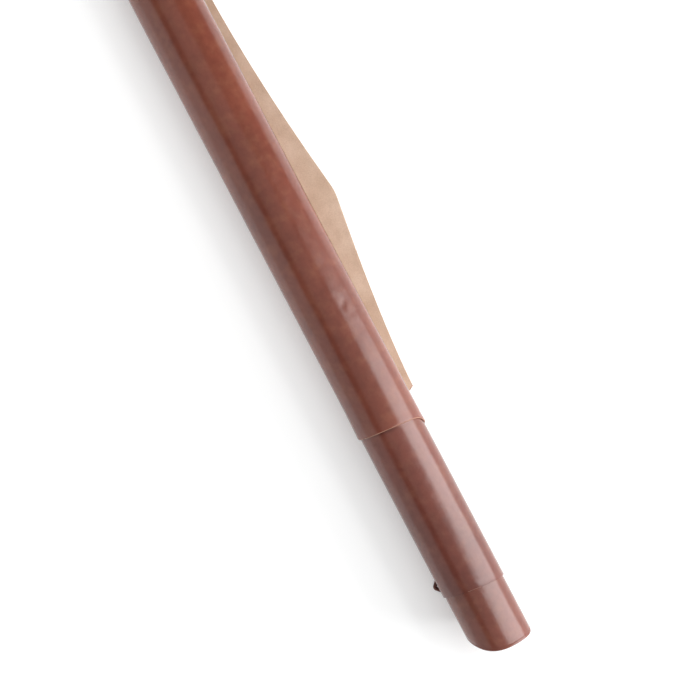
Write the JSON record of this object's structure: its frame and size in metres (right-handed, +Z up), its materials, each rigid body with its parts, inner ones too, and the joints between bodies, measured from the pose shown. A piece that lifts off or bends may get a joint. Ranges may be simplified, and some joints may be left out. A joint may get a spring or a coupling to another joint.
{
  "type": "cue case",
  "caption": "Leather-covered tube case for a two-piece cue, with a slant-ended pull-off cap and a rolled outer cover whose pointed flap folds open.",
  "frame": {"origin": "centre of the closed base end's outer face", "axes": "+X along the tube towards the cap, +Y to the side where the flap lies open, +Z up from the surface it lies on"},
  "size_m": [0.8089, 0.0936, 0.0642],
  "materials": {
    "waxed_leather": "smooth waxed pull-up leather, satin",
    "cover_leather": "smooth waxed pull-up leather, grain outside, raw flesh side inside",
    "cap_leather": "smooth waxed pull-up leather, satin",
    "wound_fibre": "wound vulcanised fibre, matt",
    "suede_lining": "suede, napped",
    "beech_plug": "turned beech, oiled",
    "wool_felt": "pressed wool felt",
    "tab_leather": "dark waxed leather",
    "dark_bronze": "dark patinated bronze",
    "rivet_brass": "aged brass"
  },
  "bodies": {
    "case": {"core_tube": "wound_fibre", "body_leather": "waxed_leather", "body_lining": "suede_lining", "cue_divider": "suede_lining", "base_disc": "waxed_leather", "base_plug": "beech_plug", "base_pad": "wool_felt", "cover_wrap": "cover_leather", "strap_tab_cap": "tab_leather", "strap_tab_base": "tab_leather", "rivet_cap_1": "rivet_brass", "rivet_cap_2": "rivet_brass", "rivet_base_1": "rivet_brass", "rivet_base_2": "rivet_brass"},
    "cap": {"cap_tube": "wound_fibre", "cap_leather": "cap_leather", "cap_disc": "cap_leather", "cap_plug": "beech_plug", "cap_pad": "wool_felt"},
    "flap": {"cover_flap": "cover_leather"},
    "ring_cap": {"strap_ring_cap": "dark_bronze"},
    "ring_base": {"strap_ring_base": "dark_bronze"}
  },
  "joints": [
    {"name": "cap_pull", "type": "slide", "parent": "case", "child": "cap", "axis": [1, 0, 0], "range_m": [0, 0.12]},
    {"name": "flap_fold", "type": "hinge", "parent": "case", "child": "flap", "pos_m": [0.3477, 0.0341, -0.0308], "axis": [1, 0, 0], "range_deg": [0, 90]},
    {"name": "ring_swing_cap", "type": "hinge", "parent": "case", "child": "ring_cap", "pos_m": [0.7309, -0.02106, -0.02695], "axis": [1, 0, 0], "range_deg": [-44, 129]},
    {"name": "ring_swing_base", "type": "hinge", "parent": "case", "child": "ring_base", "pos_m": [0.044, -0.02106, -0.02695], "axis": [1, 0, 0], "range_deg": [-44, 129]}
  ]
}
